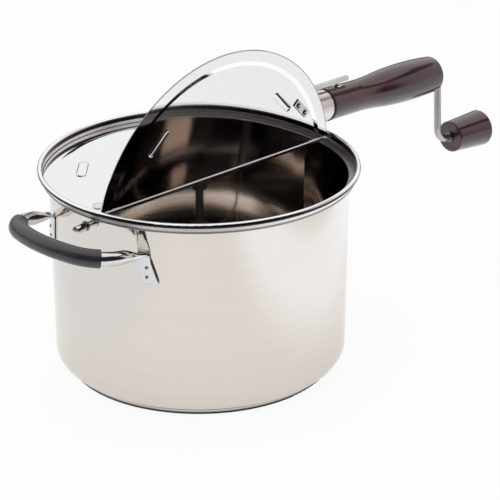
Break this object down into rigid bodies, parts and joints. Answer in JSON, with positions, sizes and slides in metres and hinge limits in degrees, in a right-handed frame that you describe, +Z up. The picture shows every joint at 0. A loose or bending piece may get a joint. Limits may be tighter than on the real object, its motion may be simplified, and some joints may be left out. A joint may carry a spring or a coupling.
{
  "type": "stovetop popcorn maker",
  "caption": "Stovetop popcorn maker: steel pot, sunk lid with a hinged flap and thumb lever, wooden crank handle geared to a stirrer, loop handle with rubber sleeve.",
  "frame": {"origin": "centre of the base's underside, on the pot's axis", "axes": "+Z up along the pot's axis, +X towards the wooden handle and crank, -Y towards the side with the flap"},
  "size_m": [0.4872, 0.248, 0.2585],
  "materials": {
    "pot_steel": "fine horizontal brush lines, satin",
    "lid_steel": "mirror polished stainless sheet",
    "bar_steel": "polished stainless bar",
    "plain_steel": "satin",
    "core_aluminium": "rolled sheet, matt",
    "bronze": "sintered bush, matt",
    "rubber": "matt, fine grain",
    "dark_wood": "dark stained, glossy lacquer"
  },
  "bodies": {
    "pot": {"pot_shell": "pot_steel", "base_core": "core_aluminium", "base_cap": "pot_steel", "loop_handle": "bar_steel", "loop_grip": "rubber", "loop_stud_near_1": "bar_steel", "loop_stud_near_2": "bar_steel", "loop_stud_far_1": "bar_steel", "loop_stud_far_2": "bar_steel", "lock_bush": "bronze"},
    "lid": {"lid_plate": "lid_steel", "lid_knuckle_left": "bar_steel", "lid_knuckle_right": "bar_steel", "hinge_rod": "bar_steel", "bridge": "plain_steel", "bridge_rivet_1": "plain_steel", "bridge_rivet_2": "plain_steel", "handle_core": "plain_steel", "ferrule": "plain_steel", "wood_handle": "dark_wood", "handle_screw": "bar_steel", "bush_gear": "bronze", "bush_bridge": "bronze", "bush_end": "bronze", "stirrer_bush": "bronze", "lock_catch": "plain_steel", "lid_button": "bar_steel"},
    "flap": {"flap_plate": "lid_steel", "flap_hinge": "bar_steel", "thumb_lever": "bar_steel", "lever_backing": "bar_steel", "lever_rivet_1": "bar_steel", "lever_rivet_2": "bar_steel"},
    "crank": {"crank_rod": "plain_steel", "crank_clip": "plain_steel", "gear_spacer": "plain_steel", "crank_collar": "plain_steel", "knob_washer": "plain_steel", "knob_cap": "plain_steel", "drive_gear": "plain_steel"},
    "knob": {"crank_knob": "dark_wood"},
    "stirrer": {"stirrer_gear": "plain_steel", "stirrer_shaft": "plain_steel", "stirrer_washer": "plain_steel", "stirrer_clip": "plain_steel", "stirrer_collar": "plain_steel", "stirrer_hub": "plain_steel", "stir_wire_a": "plain_steel", "stir_wire_b": "plain_steel"},
    "lock": {"lock_pin": "bar_steel", "lock_grip": "bar_steel", "lock_ring": "bar_steel"}
  },
  "joints": [
    {"name": "lid_lift", "type": "slide", "parent": "pot", "child": "lid", "axis": [0, 0, 1], "range_m": [0, 0.17]},
    {"name": "flap_hinge", "type": "hinge", "parent": "lid", "child": "flap", "pos_m": [0, -0.0185, 0.15855], "axis": [1, 0, 0], "range_deg": [0, 84]},
    {"name": "crank_turn", "type": "hinge", "parent": "lid", "child": "crank", "pos_m": [0, 0, 0.1806], "axis": [0.9995, 0, -0.0332], "continuous": true},
    {"name": "knob_turn", "type": "hinge", "parent": "crank", "child": "knob", "pos_m": [-0.00198, -0.00419, 0.12078], "axis": [0.9995, 0, -0.0332], "continuous": true},
    {"name": "stirrer_turn", "type": "hinge", "parent": "lid", "child": "stirrer", "pos_m": [0, 0, 0.1], "axis": [0, 0, 1], "continuous": true},
    {"name": "lock_slide", "type": "slide", "parent": "pot", "child": "lock", "axis": [0.9957, 0.0924, 0], "range_m": [0, 0.006]}
  ],
  "couplings": [
    {"joint": "stirrer_turn", "follows": "crank_turn", "ratio": 1}
  ]
}
